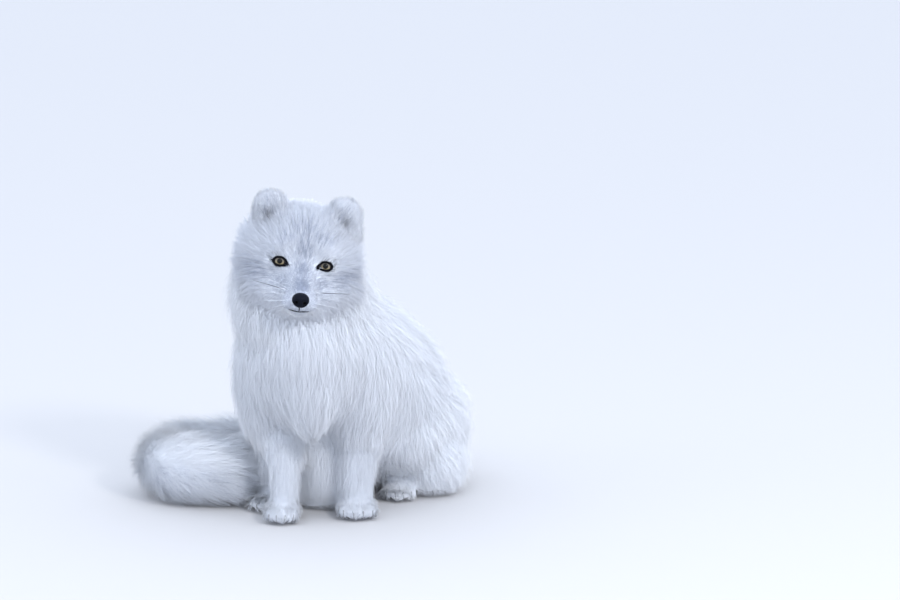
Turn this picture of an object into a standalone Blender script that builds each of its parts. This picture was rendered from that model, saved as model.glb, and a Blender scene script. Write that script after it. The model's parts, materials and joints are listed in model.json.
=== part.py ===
# Arctic fox in its winter coat, sitting, life size: a still model such as a museum shows.
# Metres, +Z up. The face looks along -Y and the fox's left side is towards +X.
# Each solid reaches to the tips of the coat; thin cuts part the body where its parts are named.
import math

import bmesh
import bpy
from mathutils import Matrix, Vector

OBJECT_NAME = "arctic_fox"
GAP = 0.0004              # width of the cuts between neighbouring pieces

# Fineness: grid on which masses are fused, smoothing passes, and faces kept.
BODY_GRID, BODY_PASSES, BODY_FACES = 0.0036, 30, 2260
HEAD_GRID, HEAD_PASSES, HEAD_FACES = 0.0020, 8, 2000
EAR_GRID, EAR_PASSES, EAR_FACES = 0.0016, 5, 150
FOOT_GRID, FOOT_PASSES, FOOT_FACES = 0.0018, 3, 190
TAIL_GRID, TAIL_PASSES, TAIL_FACES = 0.0036, 5, 460
NOSE_GRID, NOSE_PASSES, NOSE_FACES = 0.0009, 3, 160

# Stance. Right and left are the fox's own.
BODY_YAW = math.radians(20)        # the rump is swung towards +X
REAR_CENTRE = Vector((0.066, 0.182, 0.0))   # ground point midway between the haunches

# Head: everything in it is placed from the point midway between the eyes.
EYES_MIDDLE = Vector((-0.0168, -0.0450, 0.3205))
HEAD_YAW = math.radians(1.5)       # towards +X
HEAD_PITCH = math.radians(13)      # nose down
HEAD_ROLL = math.radians(7.5)      # right side up
EYE_RADIUS = 0.0082
EYE_PLACE = (0.0272, 0.0040, 0.0)  # beside and behind the eyes' middle point
NOSE_PLACE = (0.0, -0.0500, -0.0225)
NOSE_RADII = (0.0102, 0.0080, 0.0090)
EAR_PLACE = (0.0405, 0.0500, 0.0322)
EAR_HALF_WIDTH = 0.0250
EAR_HALF_THICKNESS = 0.0130
EAR_HALF_HEIGHT = 0.0350
EAR_TILT = (-6, 6, -8)
EAR_SLIT_RADII = (0.0055, 0.0075, 0.0120)
CHEEK_HALF_WIDTH = 0.0780
SKULL_SHIFT = (-0.0030, 0.0, 0.0)    # the ruff is fuller on the right side
HEAD_REACH_PLACE = (0.0, 0.0, 0.030)       # the ball that parts the head from the neck
HEAD_REACH_RADII = (0.120, 0.105, 0.098)

# Feet.
RIGHT_FOREPAW = Vector((-0.0435, 0.006, 0.0))
LEFT_FOREPAW = Vector((0.0445, 0.026, 0.0))
RIGHT_HIND_TOES = Vector((-0.068, 0.050, 0.0))
LEFT_HIND_TOES = Vector((0.090, 0.106, 0.0))
FOREPAW_LENGTH = 0.054
FOREPAW_HEIGHT = 0.028
HIND_FOOT_LENGTH = 0.086
HIND_FOOT_HEIGHT = 0.026
TOE_RADIUS = 0.0100
CLAW_LENGTH = 0.011
CLAW_RADIUS = 0.0021

# Cuts between the parts of the body.
NECK_CUT = Vector((-0.010, 0.0, 0.222))
NECK_CUT_NORMAL = (-0.10, -0.30, 0.95)
FORELEG_REACH = 0.031
FORELEG_TOP = 0.102
HAUNCH_REACH = (
    ("left", (0.128, 0.165, 0.050), (0.078, 0.095, 0.098)),
    ("right", (-0.048, 0.150, 0.050), (0.066, 0.086, 0.094)),
)
TAIL_ROOT_CUT = (-0.045, 0.250, 0.0)
TAIL_TIP_CUT = (-0.150, 0.156, 0.0)

# Finish: colour and roughness.
FINISHES = {
    "coat": ((0.86, 0.89, 0.95, 1.0), 0.90),
    "paw": ((0.80, 0.83, 0.88, 1.0), 0.90),
    "eye": ((0.34, 0.27, 0.10, 1.0), 0.08),
    "nose": ((0.02, 0.02, 0.024, 1.0), 0.40),
}

WORLD = Matrix.Identity(4)


def clear_scene():
    for obj in list(bpy.data.objects):
        bpy.data.objects.remove(obj, do_unlink=True)


def new_collection(name):
    collection = bpy.data.collections.new(name)
    bpy.context.scene.collection.children.link(collection)
    return collection


def finish_of(node):
    """The finish that a node's name calls for."""
    for key in ("eye", "nose"):
        if node.startswith(key):
            return key
    return "paw" if "paw" in node or "foot" in node else "coat"


def dress(parts):
    """Give every part its own material."""
    for obj in parts.objects:
        colour, roughness = FINISHES[finish_of(obj.name)]
        material = bpy.data.materials.new(obj.name + "_" + finish_of(obj.name))
        material.use_nodes = True
        shader = material.node_tree.nodes["Principled BSDF"]
        shader.inputs["Base Color"].default_value = colour
        shader.inputs["Roughness"].default_value = roughness
        shader.inputs["Metallic"].default_value = 0.0
        material.diffuse_color = colour
        obj.data.materials.clear()
        obj.data.materials.append(material)


def stand_on_origin(parts):
    """Bring the middle of the whole model's box, at floor level, to the origin."""
    corners = [vertex.co for obj in parts.objects for vertex in obj.data.vertices]
    middle_x = (min(c.x for c in corners) + max(c.x for c in corners)) / 2
    middle_y = (min(c.y for c in corners) + max(c.y for c in corners)) / 2
    floor = min(c.z for c in corners)
    shift = Matrix.Translation((-middle_x, -middle_y, -floor))
    for obj in parts.objects:
        obj.data.transform(shift)


def mesh_object(name, mesh, collection):
    obj = bpy.data.objects.new(name, mesh)
    collection.objects.link(obj)
    return obj


def settle(obj):
    """Apply the object's modifiers to its mesh."""
    bpy.context.view_layer.update()
    graph = bpy.context.evaluated_depsgraph_get()
    mesh = bpy.data.meshes.new_from_object(obj.evaluated_get(graph))
    obj.modifiers.clear()
    old = obj.data
    obj.data = mesh
    bpy.data.meshes.remove(old)
    return obj


# ---- frames -------------------------------------------------------------------------------

def tilt_matrix(degrees_xyz):
    spin = Matrix.Identity(4)
    for axis, angle in zip("XYZ", degrees_xyz):
        spin = Matrix.Rotation(math.radians(angle), 4, axis) @ spin
    return spin


def head_frame():
    turn = (Matrix.Rotation(HEAD_YAW, 4, "Z") @ Matrix.Rotation(HEAD_PITCH, 4, "X")
            @ Matrix.Rotation(HEAD_ROLL, 4, "Y"))
    return Matrix.Translation(EYES_MIDDLE) @ turn


def rear_frame():
    """Frame of the hindquarters: +Y runs back along the body, +X to its left side."""
    return Matrix.Translation(REAR_CENTRE) @ Matrix.Rotation(-BODY_YAW, 4, "Z")


# ---- masses: balls and limbs that are fused into one form -----------------------------------

class Masses:
    def __init__(self, name, collection):
        self.shape = bmesh.new()
        self.name = name
        self.collection = collection

    def ball(self, frame, centre, radii, tilt=(0, 0, 0)):
        matrix = (frame @ Matrix.Translation(Vector(centre)) @ tilt_matrix(tilt)
                  @ Matrix.Diagonal((*radii, 1.0)))
        bmesh.ops.create_icosphere(self.shape, subdivisions=4, radius=1.0, matrix=matrix)

    def pair(self, frame, centre, radii, tilt=(0, 0, 0)):
        """The same ball on both sides of the frame's middle plane."""
        x, y, z = centre
        self.ball(frame, (x, y, z), radii, tilt)
        self.ball(frame, (-x, y, z), radii, (tilt[0], -tilt[1], -tilt[2]))

    def limb(self, frame, stations):
        """A round limb through stations of (x, y, z, radius), with round ends."""
        curve = bpy.data.curves.new(self.name + "_limb", "CURVE")
        curve.dimensions = "3D"
        curve.bevel_depth = 1.0
        curve.bevel_resolution = 6
        curve.use_fill_caps = True
        curve.resolution_u = 6
        spline = curve.splines.new("BEZIER")
        spline.bezier_points.add(len(stations) - 1)
        for point, (x, y, z, radius) in zip(spline.bezier_points, stations):
            point.co = (x, y, z)
            point.radius = radius
            point.handle_left_type = "AUTO"
            point.handle_right_type = "AUTO"
        obj = bpy.data.objects.new(curve.name, curve)
        self.collection.objects.link(obj)
        bpy.context.view_layer.update()
        graph = bpy.context.evaluated_depsgraph_get()
        tube = bpy.data.meshes.new_from_object(obj.evaluated_get(graph))
        weld = bmesh.new()
        weld.from_mesh(tube)
        bmesh.ops.remove_doubles(weld, verts=weld.verts, dist=0.00001)
        weld.to_mesh(tube)
        weld.free()
        tube.transform(frame)
        self.shape.from_mesh(tube)
        bpy.data.objects.remove(obj, do_unlink=True)
        bpy.data.curves.remove(curve)
        bpy.data.meshes.remove(tube)
        for x, y, z, radius in (stations[0], stations[-1]):
            self.ball(frame, (x, y, z), (radius, radius, radius))

    def fused(self, grid, passes, faces, calm=None):
        """One closed skin round all the masses; calm is (point, radius) with little smoothing."""
        mesh = bpy.data.meshes.new(self.name)
        self.shape.to_mesh(mesh)
        self.shape.free()
        obj = mesh_object(self.name, mesh, self.collection)
        remesh = obj.modifiers.new("fuse", "REMESH")
        remesh.mode = "VOXEL"
        remesh.voxel_size = grid
        settle(obj)
        soften(obj, passes)
        if calm:
            soften(obj, passes * 8, calm)
        thin_faces(obj, faces)
        return obj


def soften(obj, passes, calm=None):
    smooth = obj.modifiers.new("soften", "SMOOTH")
    smooth.factor = 0.5
    smooth.iterations = passes
    if calm:
        smooth.vertex_group = away_group(obj, calm)
    settle(obj)
    obj.vertex_groups.clear()


def away_group(obj, calm):
    """A vertex group that rises from nothing near a point to one away from it."""
    point, radius = calm
    group = obj.vertex_groups.new(name="away")
    for vertex in obj.data.vertices:
        part = ((vertex.co - point).length / radius - 0.7) / 0.6
        group.add([vertex.index], min(max(part, 0.0), 1.0), "REPLACE")
    return group.name


def thin_faces(obj, faces):
    """Keep about so many triangles."""
    triangles = sum(len(polygon.vertices) - 2 for polygon in obj.data.polygons)
    thin = obj.modifiers.new("thin", "DECIMATE")
    thin.ratio = faces / triangles
    thin.use_collapse_triangulate = True
    settle(obj)


# ---- the masses of each part -----------------------------------------------------------------

def head_masses(body):
    head = head_frame()
    skull = head @ Matrix.Translation(SKULL_SHIFT)
    body.ball(skull, (0.0, 0.050, -0.008), (0.074, 0.056, 0.056))               # face
    body.ball(skull, (0.0, 0.057, 0.013), (0.062, 0.047, 0.041))                # crown
    body.pair(head, (0.022, 0.022, 0.014), (0.026, 0.026, 0.018), (0, 12, 0))   # brows
    side = CHEEK_HALF_WIDTH - 0.037
    body.pair(skull, (side, 0.054, -0.012), (0.037, 0.036, 0.060), (0, -6, 0))  # cheek ruff
    body.ball(head, (0.0, 0.028, -0.038), (0.066, 0.052, 0.036))                # throat
    body.limb(head, [(0.0, 0.030, -0.020, 0.046), (0.0, 0.000, -0.0215, 0.0285),
                     (0.0, -0.024, -0.0235, 0.0185), (0.0, -0.0425, -0.0260, 0.0128)])  # muzzle
    body.pair(head, (0.0110, -0.034, -0.0310), (0.0115, 0.0160, 0.0092), (8, 0, 14))    # lips
    body.ball(head, (0.0, -0.029, -0.0405), (0.0115, 0.0165, 0.0080), (-10, 0, 0))      # chin
    body.pair(skull, (EAR_PLACE[0] + 0.009, 0.060, 0.004), (0.0260, 0.024, 0.030), (0, 9, 0))


def ear_masses(ear, side):
    """A short rounded ear: broad at its foot, with a blunt tip."""
    x, y, z = EAR_PLACE
    frame = head_frame() @ Matrix.Translation((side * x, y, z)) @ tilt_matrix(side_tilt(EAR_TILT, side))
    width, thick, height = EAR_HALF_WIDTH, EAR_HALF_THICKNESS, EAR_HALF_HEIGHT
    ear.ball(frame, (side * width * 0.12, 0.0, -height * 0.34), (width * 1.12, thick, height * 0.66))
    ear.ball(frame, (0.0, 0.0, height * 0.06), (width * 0.98, thick * 0.94, height * 0.66))
    ear.ball(frame, (side * width * 0.04, 0.0, height * 0.46), (width * 0.82, thick * 0.80, height * 0.54))


def side_tilt(tilt, side):
    return (tilt[0], side * tilt[1], side * tilt[2])


def neck_masses(body):
    body.ball(WORLD, (-0.025, 0.028, 0.268), (0.082, 0.081, 0.090))         # ruff
    body.ball(WORLD, (-0.018, 0.056, 0.300), (0.066, 0.062, 0.062))         # nape


def chest_masses(body):
    body.ball(WORLD, (-0.008, 0.078, 0.250), (0.079, 0.074, 0.073))         # withers
    body.ball(WORLD, (-0.013, 0.040, 0.198), (0.087, 0.088, 0.096))         # chest
    body.ball(WORLD, (-0.060, 0.056, 0.168), (0.046, 0.060, 0.096))         # right shoulder
    body.ball(WORLD, (0.049, 0.048, 0.164), (0.050, 0.058, 0.094))          # left shoulder
    body.limb(WORLD, [(-0.016, -0.004, 0.215, 0.056), (-0.011, -0.010, 0.160, 0.044),
                      (-0.008, -0.012, 0.123, 0.028), (-0.007, -0.012, 0.106, 0.013)])  # bib


def trunk_masses(body):
    body.limb(WORLD, [(-0.006, 0.062, 0.200, 0.095), (0.026, 0.105, 0.163, 0.104),
                      (0.057, 0.160, 0.120, 0.106), (0.076, 0.200, 0.088, 0.090)])
    body.ball(WORLD, (0.020, 0.130, 0.080), (0.068, 0.068, 0.090))           # belly
    body.ball(WORLD, (0.006, 0.086, 0.052), (0.050, 0.054, 0.074))           # groin
    body.ball(rear_frame(), (0.0, 0.030, 0.068), (0.102, 0.086, 0.082))      # rump
    body.ball(rear_frame(), (0.0, 0.050, 0.030), (0.088, 0.064, 0.042))      # seat


def foreleg_masses(body):
    x, y, _ = RIGHT_FOREPAW
    body.limb(WORLD, [(-0.048, 0.044, 0.165, 0.042), (x - 0.001, y + 0.032, 0.112, 0.031),
                      (x + 0.003, y + 0.014, 0.060, 0.0210), (x + 0.002, y + 0.006, 0.020, 0.0185)])
    x, y, _ = LEFT_FOREPAW
    body.limb(WORLD, [(0.052, 0.046, 0.165, 0.044), (x + 0.008, y + 0.020, 0.112, 0.034),
                      (x + 0.001, y + 0.010, 0.060, 0.0245), (x, y + 0.005, 0.020, 0.0210)])


def hindleg_masses(body):
    x, y, _ = LEFT_HIND_TOES
    body.limb(WORLD, [(0.107, 0.200, 0.082, 0.076), (0.104, 0.165, 0.086, 0.073),
                      (0.097, 0.130, 0.085, 0.058)])                          # thigh
    body.ball(WORLD, (0.124, 0.200, 0.040), (0.056, 0.070, 0.056))            # fur of the haunch
    body.ball(WORLD, (0.134, 0.152, 0.036), (0.046, 0.052, 0.052))
    body.limb(WORLD, [(x + 0.004, y + 0.014, 0.072, 0.042), (x + 0.006, y + 0.042, 0.044, 0.034),
                      (x + 0.012, y + 0.085, 0.026, 0.028)])                  # shank
    body.ball(WORLD, (-0.052, 0.112, 0.068), (0.036, 0.052, 0.078))           # right thigh's fur
    x, y, _ = RIGHT_HIND_TOES
    body.limb(WORLD, [(0.020, 0.205, 0.088, 0.076), (-0.012, 0.165, 0.088, 0.066),
                      (-0.043, 0.118, 0.080, 0.051)])
    body.limb(WORLD, [(x + 0.020, y + 0.038, 0.066, 0.040), (x + 0.015, y + 0.044, 0.040, 0.034),
                      (x + 0.034, y + 0.090, 0.026, 0.027)])


def tail_stations():
    """The brush lies on the floor: it leaves the rump, runs to the right and curls forward."""
    return [(0.070, 0.262, 0.042, 0.030), (0.015, 0.264, 0.040, 0.034),
            (-0.060, 0.242, 0.036, 0.037), (-0.130, 0.208, 0.037, 0.039),
            (-0.180, 0.152, 0.040, 0.0450), (-0.172, 0.106, 0.042, 0.0470),
            (-0.143, 0.092, 0.042, 0.0470), (-0.1200, 0.090, 0.040, 0.0430)]


def foot_specs():
    """Name, middle of the foot, heading in degrees, length, half width and height."""
    back = Vector((0.0, HIND_FOOT_LENGTH * 0.42, 0.0))
    return [
        ("forepaw_right", RIGHT_FOREPAW, -3, FOREPAW_LENGTH, 0.0225, FOREPAW_HEIGHT),
        ("forepaw_left", LEFT_FOREPAW, 5, FOREPAW_LENGTH, 0.0255, FOREPAW_HEIGHT),
        ("hind_foot_right", RIGHT_HIND_TOES + back + Vector((0.010, -0.004, 0.0)), -16,
         HIND_FOOT_LENGTH, 0.0225, HIND_FOOT_HEIGHT),
        ("hind_foot_left", LEFT_HIND_TOES + back + Vector((0.002, -0.004, 0.0)), 4,
         HIND_FOOT_LENGTH, 0.0225, HIND_FOOT_HEIGHT),
    ]


def toe_places(length, half_width, height):
    """Front ends of the four toes in the foot's frame, the middle two furthest forward."""
    places = []
    for step in range(4):
        across = (step - 1.5) / 1.5
        reach = length * 0.5 - TOE_RADIUS * (0.75 if abs(across) < 0.5 else 1.25)
        places.append((across * (half_width - TOE_RADIUS * 0.8), -reach, height * 0.36))
    return places


def build_foot(spec, parts, cutters):
    """A furred foot: a long pad of coat with four toes and their claws at its front end."""
    name, centre, heading, length, half_width, height = spec
    place = Matrix.Translation(centre) @ Matrix.Rotation(math.radians(heading), 4, "Z")
    foot = Masses(name, cutters)
    foot.ball(place, (0.0, 0.004, height * 0.42), (half_width, length * 0.46, height * 0.58))
    foot.ball(place, (0.0, -length * 0.22, height * 0.40),
              (half_width * 0.96, length * 0.20, height * 0.48))
    for toe in toe_places(length, half_width, height):
        foot.ball(place, toe, (TOE_RADIUS * 0.86, TOE_RADIUS * 1.3, TOE_RADIUS * 0.94), (12, 0, 0))
    fused = foot.fused(FOOT_GRID, FOOT_PASSES, FOOT_FACES)
    for index, toe in enumerate(toe_places(length, half_width, height)):
        claw = claw_tool(f"{name}_claw_{index}", cutters, place, toe)
        boolean(fused, claw, "UNION")
        hide_cutter(claw)
    cut_at_floor(fused, cutters)
    move_to(fused, parts, name)
    return fused


def claw_tool(name, cutters, place, toe):
    """A blunt claw that leaves the toe's front end, pointing forward and a little down."""
    x, y, z = toe
    shape = bmesh.new()
    lean = Matrix.Rotation(math.radians(112), 4, "X")
    matrix = place @ Matrix.Translation((x, y - TOE_RADIUS * 0.85, z - 0.0010)) @ lean
    bmesh.ops.create_cone(shape, cap_ends=True, segments=6, radius1=CLAW_RADIUS,
                          radius2=CLAW_RADIUS * 0.25, depth=CLAW_LENGTH, matrix=matrix)
    mesh = bpy.data.meshes.new(name)
    shape.to_mesh(mesh)
    shape.free()
    return mesh_object(name, mesh, cutters)


# ---- parting the body ---------------------------------------------------------------------

def boolean(target, tool, operation):
    modifier = target.modifiers.new("cut", "BOOLEAN")
    modifier.operation = operation
    modifier.solver = "EXACT"
    modifier.object = tool
    settle(target)


def keep_largest(obj):
    """Drop stray slivers that a cut leaves loose."""
    shape = bmesh.new()
    shape.from_mesh(obj.data)
    unseen = set(shape.verts)
    islands = []
    while unseen:
        seed = unseen.pop()
        island = [seed]
        stack = [seed]
        while stack:
            for edge in stack.pop().link_edges:
                for vert in edge.verts:
                    if vert in unseen:
                        unseen.discard(vert)
                        island.append(vert)
                        stack.append(vert)
        islands.append(island)
    islands.sort(key=len)
    for island in islands[:-1]:
        bmesh.ops.delete(shape, geom=island, context="VERTS")
    shape.to_mesh(obj.data)
    shape.free()


def block_cutter(name, cutters, point, normal, reach, grow=0.0):
    """A block whose near face lies at a point, square to a normal; grow moves it outwards."""
    normal = Vector(normal).normalized()
    turn = Vector((0.0, 0.0, 1.0)).rotation_difference(normal).to_matrix().to_4x4()
    width, depth, height = reach
    place = (Matrix.Translation(Vector(point) - normal * grow) @ turn
             @ Matrix.Translation((0.0, 0.0, height / 2)) @ Matrix.Diagonal((width, depth, height, 1.0)))
    shape = bmesh.new()
    bmesh.ops.create_cube(shape, size=1.0, matrix=place)
    mesh = bpy.data.meshes.new(name)
    shape.to_mesh(mesh)
    shape.free()
    return mesh_object(name, mesh, cutters)


def ball_cutter(name, cutters, frame, centre, radii, tilt=(0, 0, 0), grow=0.0):
    size = [radius + grow for radius in radii]
    shape = bmesh.new()
    matrix = (frame @ Matrix.Translation(Vector(centre)) @ tilt_matrix(tilt)
              @ Matrix.Diagonal((*size, 1.0)))
    bmesh.ops.create_icosphere(shape, subdivisions=2, radius=1.0, matrix=matrix)
    mesh = bpy.data.meshes.new(name)
    shape.to_mesh(mesh)
    shape.free()
    return mesh_object(name, mesh, cutters)


def column_cutter(name, cutters, centre, radius, top, grow=0.0):
    """An upright column from below the floor to its top."""
    height = top + grow + 0.02
    shape = bmesh.new()
    matrix = Matrix.Translation((centre.x, centre.y, top + grow - height / 2))
    bmesh.ops.create_cone(shape, cap_ends=True, segments=24, radius1=radius + grow,
                          radius2=radius + grow, depth=height, matrix=matrix)
    mesh = bpy.data.meshes.new(name)
    shape.to_mesh(mesh)
    shape.free()
    return mesh_object(name, mesh, cutters)


def hide_cutter(obj):
    obj.hide_render = True
    obj.display_type = "WIRE"


def grown_copy(obj, name, cutters):
    """A copy spread by the gap, which cuts room for the piece in its neighbour."""
    blank = mesh_object(name, obj.data.copy(), cutters)
    spread = blank.modifiers.new("spread", "DISPLACE")
    spread.strength = GAP
    spread.mid_level = 0.0
    settle(blank)
    hide_cutter(blank)
    return blank


def make_room(rest, piece, cutters):
    boolean(rest, grown_copy(piece, piece.name + "_room", cutters), "DIFFERENCE")
    keep_largest(rest)


def carve(rest, name, parts, make_cutter):
    """Take a named piece out of the rest, and leave a thin cut round it."""
    piece = mesh_object(name, rest.data.copy(), parts)
    inner = make_cutter(name + "_inner", 0.0)
    outer = make_cutter(name + "_outer", GAP)
    boolean(piece, inner, "INTERSECT")
    boolean(rest, outer, "DIFFERENCE")
    keep_largest(piece)
    keep_largest(rest)
    hide_cutter(inner)
    hide_cutter(outer)
    return piece


def cut_at_floor(obj, cutters):
    floor = block_cutter(obj.name + "_floor", cutters, (0.0, 0.1, 0.0), (0.0, 0.0, -1.0),
                         (2.0, 2.0, 0.5))
    boolean(obj, floor, "DIFFERENCE")
    hide_cutter(floor)
    keep_largest(obj)


def move_to(obj, collection, name):
    for owner in list(obj.users_collection):
        owner.objects.unlink(obj)
    collection.objects.link(obj)
    obj.name = name
    obj.data.name = name


# ---- building -------------------------------------------------------------------------------

def build_body(cutters):
    body = Masses("body", cutters)
    head_masses(body)
    neck_masses(body)
    chest_masses(body)
    trunk_masses(body)
    foreleg_masses(body)
    hindleg_masses(body)
    fused = body.fused(BODY_GRID, BODY_PASSES, BODY_FACES)
    cut_at_floor(fused, cutters)
    return fused


def build_head(parts, cutters, body):
    """The head is fused on a finer grid than the body, and fills the room it cuts there."""
    head = Masses("head", cutters)
    head_masses(head)
    neck_masses(head)
    face = head_frame() @ Vector((0.0, -0.020, -0.014))
    fused = head.fused(HEAD_GRID, HEAD_PASSES, HEAD_FACES, (face, 0.050))
    inner = ball_cutter("head_inner", cutters, head_frame(), HEAD_REACH_PLACE, HEAD_REACH_RADII)
    outer = ball_cutter("head_outer", cutters, head_frame(), HEAD_REACH_PLACE, HEAD_REACH_RADII,
                        grow=GAP)
    boolean(fused, inner, "INTERSECT")
    boolean(body, outer, "DIFFERENCE")
    keep_largest(fused)
    keep_largest(body)
    hide_cutter(inner)
    hide_cutter(outer)
    move_to(fused, parts, "head")
    return fused


def build_ear(name, side, parts, cutters):
    ear = Masses(name, cutters)
    ear_masses(ear, side)
    fused = ear.fused(EAR_GRID, EAR_PASSES, EAR_FACES)
    x, y, z = EAR_PLACE
    slit = ball_cutter(name + "_slit", cutters, head_frame(),
                       (side * (x + 0.005), y - EAR_HALF_THICKNESS, z + 0.002), EAR_SLIT_RADII,
                       (-6, side * -14, 0))
    boolean(fused, slit, "DIFFERENCE")
    hide_cutter(slit)
    move_to(fused, parts, name)
    return fused


def build_eye(name, side, parts):
    x, y, z = EYE_PLACE
    shape = bmesh.new()
    matrix = head_frame() @ Matrix.Translation((side * x, y, z))
    bmesh.ops.create_uvsphere(shape, u_segments=14, v_segments=8, radius=EYE_RADIUS, matrix=matrix)
    mesh = bpy.data.meshes.new(name)
    shape.to_mesh(mesh)
    shape.free()
    return mesh_object(name, mesh, parts)


def build_nose(parts, cutters):
    nose = Masses("nose", cutters)
    x, y, z = NOSE_RADII
    nose.ball(head_frame(), NOSE_PLACE, NOSE_RADII)
    nose.pair(head_frame(), (x * 0.42, NOSE_PLACE[1] - y * 0.20, NOSE_PLACE[2] + 0.0004),
              (x * 0.60, y * 0.82, z * 0.80))
    fused = nose.fused(NOSE_GRID, NOSE_PASSES, NOSE_FACES)
    move_to(fused, parts, "nose")
    return fused


def build_tail(parts, cutters, body):
    """The whole tail, cut free of the body and then into three lengths."""
    tail = Masses("tail", cutters)
    tail.limb(WORLD, tail_stations())
    fused = tail.fused(TAIL_GRID, TAIL_PASSES, TAIL_FACES)
    cut_at_floor(fused, cutters)
    make_room(fused, body, cutters)

    def beyond(point, normal):
        return lambda name, grow: block_cutter(name, cutters, point, normal, (1.0, 1.0, 0.5), grow)

    carve(fused, "tail_root", parts, beyond(TAIL_ROOT_CUT, (1.0, 0.25, 0.0)))
    carve(fused, "tail_tip", parts, beyond(TAIL_TIP_CUT, (0.0, -1.0, 0.0)))
    move_to(fused, parts, "tail_middle")


def part_body(body, parts, cutters):
    """Cut the neck, legs and haunches from the body; what is left is the trunk."""
    carve(body, "neck", parts,
          lambda name, grow: block_cutter(name, cutters, NECK_CUT, NECK_CUT_NORMAL, (1.0, 1.0, 0.5), grow))
    for side, paw in (("right", RIGHT_FOREPAW), ("left", LEFT_FOREPAW)):
        centre = paw + Vector((0.003, 0.010, 0.0))
        carve(body, "foreleg_" + side, parts,
              lambda name, grow: column_cutter(name, cutters, centre, FORELEG_REACH, FORELEG_TOP, grow))
    for side, centre, radii in HAUNCH_REACH:
        carve(body, "haunch_" + side, parts,
              lambda name, grow: ball_cutter(name, cutters, WORLD, centre, radii, grow=grow))
    move_to(body, parts, "trunk")


def main():
    clear_scene()
    parts = new_collection(OBJECT_NAME)
    cutters = new_collection(OBJECT_NAME + "_cutters")
    body = build_body(cutters)
    build_tail(parts, cutters, body)
    head = build_head(parts, cutters, body)
    for name, side in (("ear_right", -1), ("ear_left", 1)):
        ear = build_ear(name, side, parts, cutters)
        make_room(head, ear, cutters)
        make_room(body, ear, cutters)
    for name, side in (("eye_right", -1), ("eye_left", 1)):
        eye = build_eye(name, side, parts)
        make_room(head, eye, cutters)
    nose = build_nose(parts, cutters)
    make_room(head, nose, cutters)
    for spec in foot_specs():
        foot = build_foot(spec, parts, cutters)
        make_room(body, foot, cutters)
    part_body(body, parts, cutters)
    dress(parts)
    stand_on_origin(parts)


main()
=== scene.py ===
import json
import math

import bmesh
import bpy
import numpy as np
from mathutils import Matrix, Vector
from mathutils.bvhtree import BVHTree

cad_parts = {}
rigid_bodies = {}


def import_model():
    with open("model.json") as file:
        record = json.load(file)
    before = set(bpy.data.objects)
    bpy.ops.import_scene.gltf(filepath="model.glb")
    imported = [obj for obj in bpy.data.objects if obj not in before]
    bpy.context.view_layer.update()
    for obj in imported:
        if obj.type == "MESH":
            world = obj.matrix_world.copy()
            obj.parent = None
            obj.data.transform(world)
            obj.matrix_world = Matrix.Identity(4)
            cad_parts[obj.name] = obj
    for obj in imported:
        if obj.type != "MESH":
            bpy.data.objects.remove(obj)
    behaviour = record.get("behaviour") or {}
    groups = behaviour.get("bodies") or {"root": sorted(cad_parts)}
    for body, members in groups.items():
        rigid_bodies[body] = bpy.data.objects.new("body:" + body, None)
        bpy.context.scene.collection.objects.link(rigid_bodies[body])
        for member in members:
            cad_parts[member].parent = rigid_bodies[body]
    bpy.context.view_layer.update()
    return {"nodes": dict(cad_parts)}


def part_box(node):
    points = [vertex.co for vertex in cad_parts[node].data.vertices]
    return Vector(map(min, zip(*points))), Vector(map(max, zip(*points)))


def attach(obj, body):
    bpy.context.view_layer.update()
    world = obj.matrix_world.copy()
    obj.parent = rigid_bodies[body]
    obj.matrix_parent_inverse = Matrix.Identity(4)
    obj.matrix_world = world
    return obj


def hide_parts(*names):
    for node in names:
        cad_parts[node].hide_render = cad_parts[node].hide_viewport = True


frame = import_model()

# Arctic fox, sitting, in its winter coat. Metres, +Z up; the fox looks along -Y, its left is +X.
nodes = frame["nodes"]
scene = bpy.context.scene


def newObject(name, data, material=None):
    if material:
        data.materials.append(material)
    obj = bpy.data.objects.new(name, data)
    scene.collection.objects.link(obj)
    return obj


def settle(obj):
    # applies the object's modifiers and hands its former mesh back
    bpy.context.view_layer.update()
    graph = bpy.context.evaluated_depsgraph_get()
    mesh = bpy.data.meshes.new_from_object(obj.evaluated_get(graph))
    obj.modifiers.clear()
    old, obj.data = obj.data, mesh
    return old


def meshFrom(shape, name):
    mesh = bpy.data.meshes.new(name)
    shape.to_mesh(mesh)
    shape.free()
    return mesh


def ballMesh(name, around, along):
    # a ball of radius 1 with its poles on the Y axis
    shape = bmesh.new()
    bmesh.ops.create_uvsphere(shape, u_segments=around, v_segments=along, radius=1.0,
                              matrix=Matrix.Rotation(math.radians(90), 4, "X"))
    return meshFrom(shape, name)


def closedPiece(name, points, faces, material):
    # closed shells with their faces turned outwards
    mesh = bpy.data.meshes.new(name)
    mesh.from_pydata(points, [], faces, shade_flat=False)
    shape = bmesh.new()
    shape.from_mesh(mesh)
    bmesh.ops.recalc_face_normals(shape, faces=shape.faces)
    shape.to_mesh(mesh)
    shape.free()
    return newObject(name, mesh, material)


def readAll(items, key, kind, width=1):
    flat = np.empty(len(items) * width, kind)
    items.foreach_get(key, flat)
    return flat.reshape(-1, width) if width > 1 else flat


def readPoints(mesh):
    return readAll(mesh.vertices, "co", np.float32, 3).astype(float)


def writePoints(mesh, points):
    mesh.vertices.foreach_set("co", points.astype(np.float32).ravel())
    mesh.update()


def readNormals(mesh):
    return readAll(mesh.vertex_normals, "vector", np.float32, 3).astype(float)


def readEdges(mesh):
    return readAll(mesh.edges, "vertices", np.int32, 2)


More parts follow.
